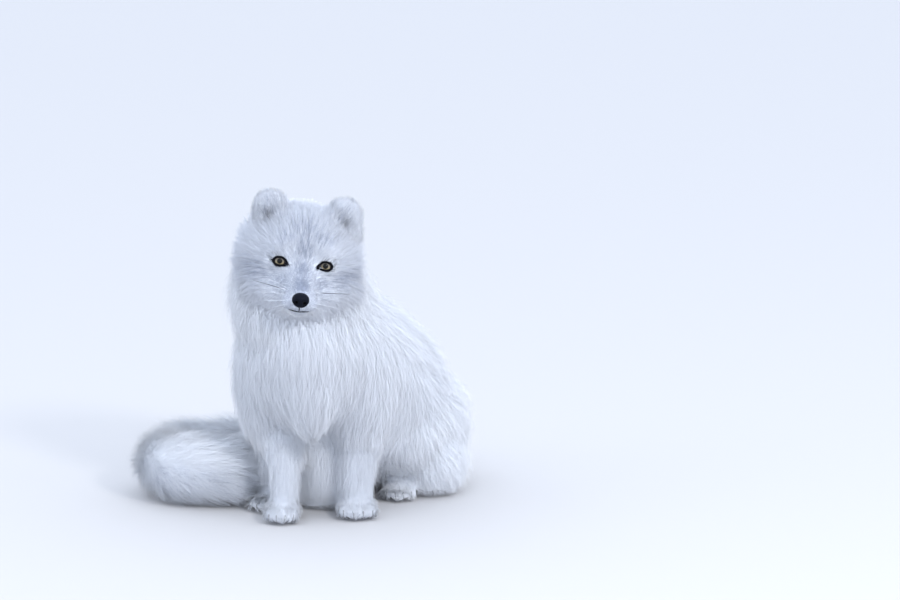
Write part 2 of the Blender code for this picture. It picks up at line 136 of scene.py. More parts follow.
def relax(values, edges, passes):
    # each point moves halfway to the mean of its neighbours
    flat = values.reshape(len(values), -1).astype(float)
    a, b = edges[:, 0], edges[:, 1]
    many = len(flat)
    count = np.maximum(np.bincount(a, minlength=many) + np.bincount(b, minlength=many), 1)
    for _ in range(passes):
        for column in range(flat.shape[1]):
            line = flat[:, column]
            total = (np.bincount(a, weights=line[b], minlength=many)
                     + np.bincount(b, weights=line[a], minlength=many))
            flat[:, column] = line + 0.5 * (total / count - line)
    return flat.reshape(values.shape)


def unit(vectors):
    return vectors / np.maximum(np.linalg.norm(vectors, axis=-1, keepdims=True), 1e-9)


def vec(*values):
    return np.array(values)


def farFrom(points, place):
    return np.linalg.norm(points - place, axis=1)


def ramp(low, high, values):
    part = np.clip((values - low) / (high - low), 0.0, 1.0)
    return part * part * (3 - 2 * part)


def store(mesh, name, values):
    kind, key = ("FLOAT", "value") if values.ndim == 1 else ("FLOAT_VECTOR", "vector")
    layer = mesh.attributes.new(name, kind, "POINT")
    layer.data.foreach_set(key, values.astype(np.float32).ravel())


def pick(sockets, key):
    if isinstance(key, int):
        return sockets[key]
    return next(s for s in sockets if s.name == key and s.enabled)


def feed(tree, node, inputs):
    # each input gets a plain value or another node's socket
    for key, value in inputs.items():
        socket = pick(node.inputs, key)
        if isinstance(value, bpy.types.NodeSocket):
            tree.links.new(value, socket)
        else:
            socket.default_value = value


def put(tree, kind, settings=None, inputs=None):
    node = tree.nodes.new(kind)
    for key, value in (settings or {}).items():
        setattr(node, key, value)
    feed(tree, node, inputs or {})
    return node


def out(node, key=None):
    if key is not None:
        return pick(node.outputs, key)
    return next(s for s in node.outputs if s.enabled)


def maths(tree, operation, first, second=0.0, third=0.0):
    return out(put(tree, "ShaderNodeMath", {"operation": operation}, {0: first, 1: second, 2: third}))


def vectorMaths(tree, operation, first, second=(0.0, 0.0, 0.0)):
    return out(put(tree, "ShaderNodeVectorMath", {"operation": operation}, {0: first, 1: second}))


def scaled(tree, vector, factor):
    node = put(tree, "ShaderNodeVectorMath", {"operation": "SCALE"}, {0: vector, "Scale": factor})
    return out(node)


def joined(tree, x, y, z=0.0):
    return out(put(tree, "ShaderNodeCombineXYZ", {}, {"X": x, "Y": y, "Z": z}))


def stored(tree, shape, name, value, kind, domain):
    node = put(tree, "GeometryNodeStoreNamedAttribute", {"data_type": kind, "domain": domain}, {
        "Geometry": shape, "Name": name, "Value": value})
    return out(node)


def newTree(name, kind, inputs, result, resultKind):
    # a node group with its named sockets
    tree = bpy.data.node_groups.new(name, kind)
    for key, socket in inputs.items():
        tree.interface.new_socket(name=key, in_out="INPUT", socket_type="NodeSocket" + socket)
    tree.interface.new_socket(name=result, in_out="OUTPUT", socket_type="NodeSocket" + resultKind)
    given = tree.nodes.new("NodeGroupInput").outputs
    return tree, given, tree.nodes.new("NodeGroupOutput").inputs[result]


def attribute(tree, name, kind="FLOAT"):
    # a named attribute inside a geometry tree
    return out(put(tree, "GeometryNodeInputNamedAttribute", {"data_type": kind}, {"Name": name}))


# the head's place and its own axes
headPose = {"yaw": 1.5, "pitch": 13.0, "roll": 7.5}     # degrees
eyeBack = 0.0040                                        # eye centres behind their middle point


def boxCentre(name):
    low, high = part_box(name)
    return np.array((low + high) / 2)


def turned(yaw, pitch, roll):
    angles = zip((yaw, pitch, roll), "ZXY")
    about = [Matrix.Rotation(math.radians(angle), 4, axis) for angle, axis in angles]
    return about[0] @ about[1] @ about[2]


headTurn = turned(**headPose)
headOrigin = np.array((Vector(boxCentre("eye_left")) + Vector(boxCentre("eye_right"))) / 2
                      - headTurn @ Vector((0, eyeBack, 0)))
headAxes = np.array(headTurn.to_3x3())
muzzleTip = vec(0.0, -0.050, -0.024)             # in the head's axes


def toHead(points):
    return (points - headOrigin) @ headAxes


def fromHead(vectors):
    return vectors @ headAxes.T


# one skin under the coat
skinSizes = {
    "spread": 0.00035,       # closes the thin cuts between the solids
    "shellGrid": 0.0024,
    "skinGrid": 0.0026,
    "steps": 6,              # steps of the way in from the coat's tips
    "lidBall": 0.0094,       # skin wraps the eyeball at this radius
    "floorBall": 0.0060,     # and lies at this one behind the opening
    "socket": 0.014,         # how far from the eye the opening is looked for
    "noseBed": 0.0052,       # radius of the skin under the nose leather
    "noseReach": 0.0112,
}

# coat of each part: depth of the skin below the tips, length, lift in degrees, breadth factor
coatParts = {
    "head": (0.0085, 0.024, 24, 1.0),
    "ear": (-0.0008, 0.0130, 22, 1.2),
    "neck": (0.0110, 0.036, 17, 1.0),
    "trunk": (0.0100, 0.034, 12, 1.0),
    "foreleg": (0.0055, 0.021, 14, 1.15),
    "forepaw": (0.0026, 0.0120, 18, 1.4),
    "haunch": (0.0092, 0.033, 12, 1.0),
    "hind_foot": (0.0045, 0.0240, 16, 1.1),
    "tail": (0.0130, 0.046, 27, 0.95),
    "nose": (0.0020, 0.003, 14, 2.4),
    "eye": (0.0022, 0.005, 16, 2.0),
}
# depth, length and lift on the face: at the muzzle's tip, then what the cheeks and the chin add
faceCoat = ((0.0014, 0.0085, -0.0036), (0.0054, 0.0227, 0.008), (10, 15, 12))


def partOf(nodeName):
    return next((key for key in coatParts if nodeName.startswith(key)), "trunk")


def shellMesh():
    whole = bmesh.new()
    for name in sorted(nodes):
        part = bmesh.new()
        part.from_mesh(nodes[name].data)
        bmesh.ops.remove_doubles(part, verts=part.verts, dist=1e-6)
        part.normal_update()
        for vertex in part.verts:
            vertex.co += vertex.normal * skinSizes["spread"]
        mesh = meshFrom(part, "part")
        whole.from_mesh(mesh)
        bpy.data.meshes.remove(mesh)
    return meshFrom(whole, "shell")


def remesh(obj, grid, passes):
    voxels = obj.modifiers.new("voxels", "REMESH")
    voxels.mode = "VOXEL"
    voxels.voxel_size = grid
    smooth = obj.modifiers.new("smooth", "SMOOTH")
    smooth.factor = 0.5
    smooth.iterations = passes
    bpy.data.meshes.remove(settle(obj))


class NodeFinder:
    # which CAD node lies nearest to a point
    def __init__(self):
        points, faces, self.owner = [], [], []
        for name in sorted(nodes):
            mesh = nodes[name].data
            base = len(points)
            points.extend(tuple(v.co) for v in mesh.vertices)
            faces.extend(tuple(i + base for i in p.vertices) for p in mesh.polygons)
            self.owner.extend([name] * len(mesh.polygons))
        self.tree = BVHTree.FromPolygons(points, faces)

    def names(self, points):
        return [self.owner[self.tree.find_nearest(Vector(p))[2]] for p in points]

    def past(self, points):
        # how far each point stands outside the solids
        far = np.zeros(len(points))
        for index, point in enumerate(points):
            spot, normal, _, distance = self.tree.find_nearest(Vector(point))
            if (Vector(point) - spot).dot(normal) > 0:
                far[index] = distance
        return far


def coatOf(points, names):
    # depth, length, lift and breadth for each point, from its part and its place on the head
    part = np.array([partOf(name) for name in names])
    table = np.array([coatParts[key] for key in part])
    spot = toHead(points)
    onHead = part == "head"
    # short on the muzzle and round the eyes, longer towards the cheeks, the crown and the throat
    fromNose = farFrom(spot, muzzleTip)
    longer = ramp(0.030, 0.098, fromNose)
    sideways = ramp(0.020, 0.060, np.abs(spot[:, 0]))
    low = ramp(-0.015, -0.045, spot[:, 2])
    longer = np.clip(longer * (0.55 + 0.45 * np.maximum(sideways, low)), 0, 1)
    chin = np.exp(-((spot - vec(0.0, -0.020, -0.046)) ** 2
                    / vec(0.018, 0.024, 0.010) ** 2).sum(axis=1))
    face = [tip + cheek * longer + under * chin for tip, cheek, under in faceCoat]
    table[onHead] = np.stack(face + [1.9 - 0.9 * np.sqrt(longer)], axis=1)[onHead]
    return table, part


def buildSkin(finder):
    obj = newObject("skin", shellMesh())
    remesh(obj, skinSizes["shellGrid"], 7)
    points, edges = readPoints(obj.data), readEdges(obj.data)
    table, _ = coatOf(points, finder.names(points))
    depth = relax(table[:, 0], edges, 14)
    for _ in range(skinSizes["steps"]):
        points = points - readNormals(obj.data) * (depth / skinSizes["steps"])[:, None]
        points = relax(points, edges, 1)
        writePoints(obj.data, points)
    remesh(obj, skinSizes["skinGrid"], 3)
    # the ears' hollows are filled with hair, so only a shallow dip is left of them
    points, edges = readPoints(obj.data), readEdges(obj.data)
    _, part = coatOf(points, finder.names(points))
    soft = relax((part == "ear").astype(float), edges, 2)[:, None]
    writePoints(obj.data, points * (1 - soft) + relax(points, edges, 10) * soft)
    return obj


gazeTurn = {"up": 11.0, "in": 1.0}       # degrees, so that both eyes meet the viewer
# half width and height of the eye openings: in the skin, clear of hair, and dark
openings = {"skin": (0.0076, 0.0050), "bare": (0.0090, 0.0060), "dark": (0.0090, 0.0056),
            "bareCorner": 0.0042, "darkCorner": 0.0026, "depth": 0.0150, "noseBare": 0.0110}
cornerPlace, cornerSpread = (0.0096, -0.0070, -0.0032), (1.15, 2.4, 1.0)


def eyeAxes(side):
    # x to the fox's left, y backwards, z up
    return np.array(turned(-side * gazeTurn["in"], -gazeTurn["up"], headPose["roll"]).to_3x3())


eyeSides = {"eye_right": -1, "eye_left": 1}


def toEye(points, name):
    return (points - boxCentre(name)) @ eyeAxes(eyeSides[name])


def inEyeOpening(points, name, half):
    local = toEye(points, name)
    oval = (local[:, 0] / half[0]) ** 2 + (local[:, 2] / half[1]) ** 2
    return (local[:, 1] < 0) & (oval < 1) & (np.linalg.norm(local, axis=1) < openings["depth"])


def atInnerCorner(points, name, reach):
    spot = toEye(points, name) - vec(-eyeSides[name], 1, 1) * cornerPlace
    return (spot ** 2 / (vec(*cornerSpread) * reach) ** 2).sum(axis=1) < 1


def ontoBall(points, chosen, centre, radius):
    points[chosen] = centre + unit(points[chosen] - centre) * radius


def wrapEyes(mesh):
    # the skin closes round each eyeball and leaves an opening in front of it
    points = readPoints(mesh)
    for name in eyeSides:
        centre = boxCentre(name)
        distance = farFrom(points, centre)
        opening = inEyeOpening(points, name, openings["skin"])
        ontoBall(points, (distance < skinSizes["lidBall"]) & ~opening, centre, skinSizes["lidBall"])
        ontoBall(points, opening & (distance < skinSizes["socket"]), centre, skinSizes["floorBall"])
    # and makes room for the nose leather
    bed = boxCentre("nose") + fromHead(vec(0.0, 0.0065, 0.0))
    near = farFrom(points, boxCentre("nose")) < skinSizes["noseReach"]
    radius = np.minimum(farFrom(points, bed), skinSizes["noseBed"])
    ontoBall(points, near, bed, radius[near][:, None])
    writePoints(mesh, points)


# lie of the coat
down = vec(0.0, 0.0, -1.0)
bodyShift = vec(0.0227, -0.1005, 0.0)    # from the body's own middle to the box's
tailRoute = np.array((
    (0.070, 0.262, 0.040), (0.015, 0.264, 0.038), (-0.060, 0.242, 0.036), (-0.130, 0.208, 0.037),
    (-0.180, 0.152, 0.040), (-0.172, 0.106, 0.042), (-0.143, 0.092, 0.042), (-0.1200, 0.090, 0.040),
)) + bodyShift
bodyLine = unit(vec(0.070, 0.170, -0.100))       # withers to rump
rumpPlace = vec(0.066, 0.182, 0.08) + bodyShift
neckPlace = vec(-0.018, 0.045, 0.26) + bodyShift


def smoothRoute(stations, steps):
    line = []
    for index in range(len(stations) - 1):
        before = stations[max(index - 1, 0)]
        start, end = stations[index], stations[index + 1]
        after = stations[min(index + 2, len(stations) - 1)]
        for step in range(steps):
            t = step / steps
            line.append(0.5 * (2 * start + (end - before) * t
                               + (2 * before - 5 * start + 4 * end - after) * t * t
                               + (3 * start - before - 3 * end + after) * t ** 3))
    line.append(stations[-1])
    return np.array(line)


def tailFlow(points):
    line = smoothRoute(tailRoute, 8)
    nearest = np.argmin(((points[:, None, :] - line[None]) ** 2).sum(axis=2), axis=1)
    outward = points - line[nearest]
    hang = down * ramp(0.012, -0.022, outward[:, 2])[:, None]
    return unit(np.gradient(line, axis=0))[nearest] + 0.35 * unit(outward) + 0.55 * hang


def headFlow(points):
    spot = toHead(points)
    flow = unit(spot - vec(0.0, -0.062, -0.022))
    low = ramp(0.012, -0.030, spot[:, 2]) * ramp(0.008, 0.045, np.abs(spot[:, 0]))
    flow[:, 2] -= low * 0.75 + 0.9 * ramp(0.045, 0.085, spot[:, 1])
    flow[:, 0] *= 1.0 + 0.5 * ramp(0.0, 0.04, spot[:, 2])
    return fromHead(flow)


def earFlow(points):
    side = np.sign(toHead(points)[:, 0])
    return fromHead(np.stack((side * 0.30, np.full(len(side), 0.10), np.ones(len(side))), axis=1))


def levelAway(points, place):
    outward = points - place
    outward[:, 2] = 0
    return unit(outward)


def bodyFlow(points, normals):
    flat = np.full(len(points), -0.10)
    front = np.stack((-2.2 * (points[:, 0] - 0.012), flat, np.full(len(points), -1.0)), axis=1)
    rear = bodyLine[None] * 1.0 + levelAway(points, rumpPlace) * 0.22 + vec(0, 0, -0.45)
    share = ramp(-0.055, 0.030, points[:, 1])[:, None]
    share = np.maximum(share, ramp(0.2, 0.8, normals[:, 2])[:, None])
    return unit(front) * (1 - share) + unit(rear) * share


def neckFlow(points):
    return levelAway(points, neckPlace) * 0.30 + down


def haunchFlow(points):
    return bodyLine[None] * 0.50 + levelAway(points, rumpPlace) * 0.25 + vec(0, 0, -0.80)


def layCoat(points, normals, edges, part):
    flow = bodyFlow(points, normals)
    for key, lie in (("head", headFlow), ("ear", earFlow), ("nose", headFlow), ("eye", headFlow),
                     ("neck", neckFlow), ("haunch", haunchFlow), ("tail", tailFlow)):
        chosen = part == key
        flow[chosen] = lie(points[chosen])
    flow[part == "foreleg"] = (0.0, -0.06, -1.0)
    flow[(part == "forepaw") | (part == "hind_foot")] = (0.0, -1.0, -0.55)
    flow = unit(flow)
    for _ in range(4):
        flow = relax(flow, edges, 8)
        flow = unit(flow - normals * (flow * normals).sum(axis=1, keepdims=True))
    return flow


# markings, with painted shade in the ears' hollows and painted light on the chin: place in the head's axes,
# radii, strength of the grey, dark or light
greySpots = (
    ((0.0, -0.036, -0.010), (0.012, 0.020, 0.013), 0.82),       # bridge of the nose
    ((0.0, -0.014, 0.0), (0.013, 0.020, 0.012), 0.62),
    ((0.0, 0.004, 0.014), (0.015, 0.018, 0.015), 0.58),         # between the eyes
    ((0.0, 0.018, 0.030), (0.028, 0.024, 0.024), 0.52),         # forehead
    ((0.022, 0.012, 0.022), (0.014, 0.016, 0.012), 0.50),
    ((0.036, 0.002, 0.003), (0.010, 0.012, 0.0035), 0.62),      # outer corner of the eyes
    ((0.042, 0.018, -0.018), (0.026, 0.034, 0.018), 0.57),      # cheeks
    ((0.024, -0.010, -0.018), (0.017, 0.022, 0.011), 0.50),     # roots of the whiskers
    ((0.041, 0.045, 0.044), (0.022, 0.020, 0.026), 0.42),       # ears
)
darkSpots = (
    # painted shade: the hollow of each ear is painted near black
    ((0.043, 0.036, 0.035), (0.0048, 0.010, 0.0062), 0.95),     # hollow of the ears
    ((0.0365, 0.0015, 0.001), (0.0055, 0.006, 0.0012), 0.75),
)
# painted light on the chin: it clears the painted shade and the grey under the mouth
paintedLightSpots = (
    ((0.0, -0.022, -0.046), (0.020, 0.022, 0.011), 1.0),        # chin
)
# how far each part's coat is darkened all over towards the short colour: painted shade
paintedPartShade = {"head": 0.52, "ear": 0.36, "neck": 0.10, "trunk": 0.15, "foreleg": 0.24, "forepaw": 0.20,
             "tail": 0.22}


def spotField(points, spots):
    spot = toHead(points)
    spot[:, 0] = np.abs(spot[:, 0])
    field = np.zeros(len(points))
    for place, radii, strength in spots:
        far = (((spot - np.array(place)) / np.array(radii)) ** 2).sum(axis=1)
        field = np.maximum(field, strength * np.exp(-far))
    return field


coatSizes = {
    # region: kind of tuft, spacing of the roots in metres
    "muzzle": ("short", 0.00078),
    "face": ("short", 0.00125),
    "ears": ("short", 0.00135),
    "head": ("short", 0.0017),
    "neck": ("long", 0.0046),
    "chest": ("long", 0.0044),
    "shoulders": ("long", 0.0053),
    "back": ("long", 0.0058),
    "belly": ("long", 0.0080),
    "haunches": ("long", 0.0054),
    "legs": ("long", 0.0036),
    "feet": ("short", 0.0019),
    "tail": ("long", 0.0051),
}
regionNames = list(coatSizes)


def regionOf(points, normals, part):
    region = np.full(len(points), regionNames.index("back"))

    def claim(name, chosen):
        region[chosen] = regionNames.index(name)

    claim("shoulders", points[:, 1] < 0.045)
    for name, keys in (("head", ["head"]), ("ears", ["ear"]), ("face", ["nose", "eye"]), ("neck", ["neck"]),
                       ("haunches", ["haunch"]), ("tail", ["tail"]), ("legs", ["foreleg"]),
                       ("feet", ["forepaw", "hind_foot"])):
        claim(name, np.isin(part, keys))
    trunk = part == "trunk"
    claim("chest", trunk & (points[:, 1] < -0.050))
    claim("belly", trunk & ((normals[:, 2] < -0.25) | (points[:, 2] < 0.06)) & (points[:, 1] > -0.03))
    fromNose = farFrom(toHead(points), muzzleTip)
    claim("face", (part == "head") & (fromNose < 0.078))
    claim("muzzle", np.isin(part, ["head", "nose"]) & (fromNose < 0.043))
    return region


def dressSkin(obj, finder):
    mesh = obj.data
    points, normals, edges = readPoints(mesh), readNormals(mesh), readEdges(mesh)
    table, part = coatOf(points, finder.names(points))
    table = relax(table, edges, 12)
    flow = layCoat(points, normals, edges, part)
    cover = np.ones(len(points))
    for name in eyeSides:
        cover[inEyeOpening(points, name, openings["bare"])] = 0.0
        cover[atInnerCorner(points, name, openings["bareCorner"])] = 0.0
    cover[farFrom(points, boxCentre("nose")) < openings["noseBare"]] = 0.0
    cover[(normals[:, 2] < -0.80) & (points[:, 2] < 0.020)] = 0.0
    # hair keeps within the coat's outer form
    length, rise = table[:, 1], np.radians(table[:, 2])[:, None]
    heading = flow * np.cos(rise) + normals * np.sin(rise)
    for _ in range(2):
        past = finder.past(points + heading * length[:, None])
        length = length * np.clip(1 - np.maximum(past - coatCare["reach"], 0) / length, 0.35, 1.0)
    table[:, 1] = relax(length, edges, 6)
    # painted shade: the head's short coat is painted darker, standing in for the shadow long hair casts on
    # itself, and each part takes at least its own share; it fades to the neck's share behind the head and
    # is left off the lower trunk
    thin = ramp(0.017, 0.003, table[:, 1]) * np.isin(part, ("head", "nose", "eye"))
    # painted light on the chin, which takes the painted shade and the grey away there
    light = spotField(points, paintedLightSpots)
    for name, least in paintedPartShade.items():
        thin[part == name] = np.maximum(thin[part == name], least)
    behind = ramp(0.045, 0.085, toHead(points)[:, 1])
    head, tail = part == "head", part == "tail"
    thin[head] = (thin * (1 - behind) + paintedPartShade["neck"] * behind)[head]
    # painted light and shade on the tail: its upward side loses the painted tint, so its lower side stays
    # darker
    paintedTopLight = ramp(0.0, 0.6, normals[:, 2])
    thin[tail] *= 1 - paintedTopLight[tail]
    thin[(part == "trunk") & (points[:, 2] < 0.11)] = 0.0
    thin = relax(thin * (1 - light), edges, 10)
    grey = spotField(points, greySpots)
    # the tail's grey is painted shade on its lower side, fading out where it faces up
    grey[tail] = 0.26 * (1 - paintedTopLight[tail])
    grey[(part == "forepaw") & (points[:, 2] < 0.010)] = 0.40
    grey = relax(grey * (1 - light), edges, 3)
    # dark: the eye rims' black skin and the line at the eyes' outer corners, and painted shade in the ears'
    # hollows
    dark = spotField(points, darkSpots)
    for name in eyeSides:
        dark[inEyeOpening(points, name, openings["dark"])] = 1.0
        dark[atInnerCorner(points, name, openings["darkCorner"])] = 1.0
    for name, values in {"flow": flow, "furLength": table[:, 1], "lift": np.radians(table[:, 2]),
                         "breadth": table[:, 3], "cover": cover, "thin": thin, "grey": grey,
                         "dark": dark}.items():
        store(mesh, name, values)
    region = regionOf(points, normals, part)
    first = readAll(mesh.polygons, "loop_start", np.int32)
    corner = readAll(mesh.loops, "vertex_index", np.int32)
    layer = mesh.attributes.new("region", "INT", "FACE")
    layer.data.foreach_set("value", region[corner[first]].astype(np.int32))


def unwrap(obj):
    bpy.context.view_layer.objects.active = obj
    obj.select_set(True)
    obj.data.uv_layers.new(name="OFBake")
    bpy.ops.object.mode_set(mode="EDIT")
    bpy.ops.mesh.select_all(action="SELECT")
    bpy.ops.uv.smart_project(angle_limit=math.radians(66), island_margin=0.002)
    bpy.ops.object.mode_set(mode="OBJECT")
    obj.select_set(False)


tuftLooks = {
    # curved and straight hairs in a tuft; their sizes are shares of the tuft's length
    "long": {"variants": 8, "curved": 8, "straight": 10, "rootSpread": 0.200, "tipSpread": 0.210,
             "width": 0.0105, "arch": 0.050, "sink": 0.05, "wave": 0.035},
    "short": {"variants": 8, "curved": 0, "straight": 11, "rootSpread": 0.046, "tipSpread": 0.046,
              "width": 0.0170, "arch": 0.000, "sink": 0.00, "wave": 0.000},
}


def tuftMesh(name, look, seed):
    chance = np.random.default_rng(seed)
    points, faces, along, tone, place = [], [], [], [], []
    lean = chance.uniform(-0.10, 0.10, 2)
    for hair in range(look["curved"] + look["straight"]):
        rings = (0.0, 0.5) if hair < look["curved"] else (0.0,)
        angle, reach = chance.uniform(0, 2 * math.pi), math.sqrt(chance.uniform())
        root = np.array((math.cos(angle), math.sin(angle))) * reach * look["rootSpread"]
        stray = np.clip(chance.normal(0, 1, 2), -1.6, 1.6)
        tip = lean + stray * look["tipSpread"] * (0.6, 1.0)
        length = chance.uniform(0.66, 1.0)
        phase = chance.uniform(0, 2 * math.pi)
        shade = chance.uniform()
        turn = chance.uniform(0, 2 * math.pi)
        width = look["width"] * chance.uniform(0.75, 1.2)
        base = len(points)

        def addPoint(t, wide=0.0, spin=0.0):
            x, y = root * (1 - t) + tip * t
            x += look["arch"] * 4 * t * (1 - t) - look["sink"] * t ** 3
            y += look["wave"] * math.sin(phase + 3.0 * t) * t
            points.append((x + wide * math.cos(spin), y + wide * math.sin(spin), t * length))
            along.append(t)
            tone.append(shade)
            place.append((0.5 + root[1] / look["rootSpread"] * 0.4, 0.08 + 0.84 * t, 0.0))

        for t in rings:
            for corner in range(3):
                addPoint(t, width * (1 - 0.75 * t) * 0.5, turn + corner * 2 * math.pi / 3)
        addPoint(1.0)
        tipPoint = len(points) - 1
        last = tipPoint - 3
        faces.append((base + 2, base + 1, base))
        for start in range(base, tipPoint, 3):
            for corner in range(3):
                a, b = start + corner, start + (corner + 1) % 3
                faces.append((a, b, tipPoint) if start == last else (a, b, b + 3, a + 3))
    mesh = bpy.data.meshes.new(name)
    mesh.from_pydata(points, [], faces, shade_flat=False)
    store(mesh, "along", np.array(along))
    store(mesh, "strandTone", np.array(tone))
    store(mesh, "tuftPlace", np.array(place))
    return mesh


def tuftCollection(name):
    look = tuftLooks[name]
    collection = bpy.data.collections.new("tufts_" + name)
    for index in range(look["variants"]):
        mesh = tuftMesh(f"tuft_{name}_{index}", look, 40 + index)
        collection.objects.link(bpy.data.objects.new(mesh.name, mesh))
    return collection


def coatTree():
    tree, given, final = newTree("coat", "GeometryNodeTree", {
        "Skin": "Geometry", "Region": "Int", "Tufts": "Collection", "Spacing": "Float", "Length": "Float",
        "Ruffle": "Float", "Patch": "Float", "Floor": "Float", "Crispness": "Float", "Seed": "Int",
        "Material": "Material"}, "Coat", "Geometry")

    # sockets 2 and 3 compare whole numbers
    here = put(tree, "FunctionNodeCompare", {"data_type": "INT", "operation": "EQUAL"}, {
        2: attribute(tree, "region", "INT"), 3: given["Region"]})
    roots = put(tree, "GeometryNodeDistributePointsOnFaces", {"distribute_method": "POISSON"}, {
        "Mesh": given["Skin"], "Selection": out(here), "Distance Min": given["Spacing"],
        "Density Max": 900000.0, "Density Factor": attribute(tree, "cover"), "Seed": given["Seed"]})

    def chance(kind, low, high, seed):
        return out(put(tree, "FunctionNodeRandomValue", {"data_type": kind}, {
            "Min": low, "Max": high, "Seed": maths(tree, "ADD", given["Seed"], seed)}))

    # direction of each tuft: along the coat's lie, raised by its lift, with a little disorder
    lift = maths(tree, "MULTIPLY", attribute(tree, "lift"), chance("FLOAT", 0.90, 1.10, 1))
    along = scaled(tree, attribute(tree, "flow", "FLOAT_VECTOR"), maths(tree, "COSINE", lift))
    rise = scaled(tree, out(roots, "Normal"), maths(tree, "SINE", lift))
    ruffle = scaled(tree, chance("FLOAT_VECTOR", (-1, -1, -1), (1, 1, 1), 2), given["Ruffle"])
    heading = vectorMaths(tree, "ADD", vectorMaths(tree, "ADD", along, rise), ruffle)
    turn = put(tree, "FunctionNodeAxesToRotation", {"primary_axis": "Z", "secondary_axis": "X"}, {
        "Primary Axis": heading, "Secondary Axis": out(roots, "Normal")})
    length = maths(tree, "MULTIPLY", maths(tree, "MULTIPLY", attribute(tree, "furLength"), given["Length"]),
                   chance("FLOAT", 0.80, 1.10, 3))
    across = maths(tree, "MULTIPLY", length, attribute(tree, "breadth"))
    stock = put(tree, "GeometryNodeCollectionInfo", {}, {
        "Collection": given["Tufts"], "Separate Children": True, "Reset Children": True})
    placed = put(tree, "GeometryNodeInstanceOnPoints", {}, {
        "Points": out(roots, "Points"), "Instance": out(stock), "Pick Instance": True,
        "Instance Index": chance("INT", 0, 50, 4), "Rotation": out(turn),
        "Scale": joined(tree, across, across, length)})
    shape = stored(tree, out(placed), "tuftTone", chance("FLOAT", 0.0, 1.0, 5), "FLOAT", "INSTANCE")
    shape = stored(tree, shape, "rootNormal", out(roots, "Normal"), "FLOAT_VECTOR", "INSTANCE")
    real = put(tree, "GeometryNodeRealizeInstances", {}, {"Geometry": shape})

    # hair that would pass the floor lies flat on it
    spot = put(tree, "ShaderNodeSeparateXYZ", {}, {0: out(put(tree, "GeometryNodeInputPosition"))})
    height = out(spot, "Z")
    share = maths(tree, "DIVIDE", height, given["Floor"])
    flat = maths(tree, "MULTIPLY", given["Floor"],
                 maths(tree, "EXPONENT", maths(tree, "SUBTRACT", share, 1.0)))
    isLow = maths(tree, "LESS_THAN", height, given["Floor"])
    level = joined(tree, out(spot, "X"), out(spot, "Y"), mixed(tree, isLow, height, flat, "FLOAT"))
    laid = put(tree, "GeometryNodeSetPosition", {}, {"Geometry": out(real), "Position": level})

    # each tuft is a small patch at its root's place on the skin's unwrap
    offset = vectorMaths(tree, "SUBTRACT", attribute(tree, "tuftPlace", "FLOAT_VECTOR"), (0.5, 0.5, 0.0))
    place = vectorMaths(tree, "ADD", attribute(tree, "OFBake", "FLOAT_VECTOR"),
                        scaled(tree, offset, given["Patch"]))
    mapped = stored(tree, out(laid), "OFBake", place, "FLOAT2", "CORNER")
    # shading that follows the skin more than each hair blends the locks softly; a side of a hair
    # that faces away from the skin's normal keeps more of its own
    own = out(put(tree, "GeometryNodeInputNormal"))
    base = attribute(tree, "rootNormal", "FLOAT_VECTOR")
    agree = put(tree, "ShaderNodeVectorMath", {"operation": "DOT_PRODUCT"}, {0: own, 1: base})
    against = maths(tree, "MAXIMUM", maths(tree, "SUBTRACT", 0.25, out(agree, "Value")), 0.0)
    weight = maths(tree, "ADD", maths(tree, "MULTIPLY", against, 2.4), given["Crispness"])
    soft = vectorMaths(tree, "NORMALIZE", vectorMaths(tree, "ADD", scaled(tree, own, weight), base))
    shape = out(put(tree, "GeometryNodeSetMeshNormal", {"mode": "FREE", "domain": "CORNER"}, {
        "Mesh": mapped, "Custom Normal": soft}))
    for name in ("flow", "lift", "breadth", "cover", "furLength", "tuftPlace", "rootNormal"):
        shape = out(put(tree, "GeometryNodeRemoveAttribute", {}, {"Geometry": shape, "Name": name}))
    done = put(tree, "GeometryNodeSetMaterial", {}, {"Geometry": shape, "Material": given["Material"]})
    tree.links.new(out(done), final)
    return tree


def setInputs(modifier, values):
    for item in modifier.node_group.interface.items_tree:
        if item.item_type == "SOCKET" and item.in_out == "INPUT" and item.name in values:
            modifier[item.identifier] = values[item.name]


coatInputs = {"Length": 1.0, "Ruffle": 0.04, "Patch": 0.003, "Floor": 0.006}
coatCare = {"reach": 0.0052, "seed": 11}       # how far hair may pass the solids, first seed
crispness = {"long": 0.14, "short": 0.50}      # how far each hair shows its own form


def growCoat(skin, tree, stocks, material):
    pieces = []
    for index, name in enumerate(regionNames):
        kind, spacing = coatSizes[name]
        carrier = newObject("coat_" + name, skin.data)
        modifier = carrier.modifiers.new("coat", "NODES")
        modifier.node_group = tree
        setInputs(modifier, {
            **coatInputs, "Region": index, "Tufts": stocks[kind], "Spacing": spacing,
            "Crispness": crispness[kind], "Seed": coatCare["seed"] + index * 10, "Material": material})
        settle(carrier)
        carrier.data.name = carrier.name
        print("coat", name, "triangles", sum(len(p.vertices) - 2 for p in carrier.data.polygons))
        pieces.append(carrier)
    return pieces


coatColours = {
    "white": (0.905, 0.933, 0.985, 1.0),
    # painted shade: hairs are painted darker and bluer towards their roots, where the coat shadows itself
    "shade": (0.875, 0.915, 0.98, 1.0),      # near the roots
    # painted shade colour, used where the coat is short and over whole parts
    "short": (0.33, 0.37, 0.475, 1.0),       # where the coat is short
    "grey": (0.31, 0.35, 0.45, 1.0),
    "dark": (0.030, 0.031, 0.040, 1.0),
    "lockShare": 0.55,      # how far the hairs of one lock share a tone
}


def newMaterial(name, values):
    material = bpy.data.materials.new(name)
    material.use_nodes = True
    shader = material.node_tree.nodes["Principled BSDF"]
    feed(material.node_tree, shader, values)
    return material, material.node_tree, shader


def readAttribute(tree, name, key="Fac"):
    return out(put(tree, "ShaderNodeAttribute", {"attribute_name": name}), key)


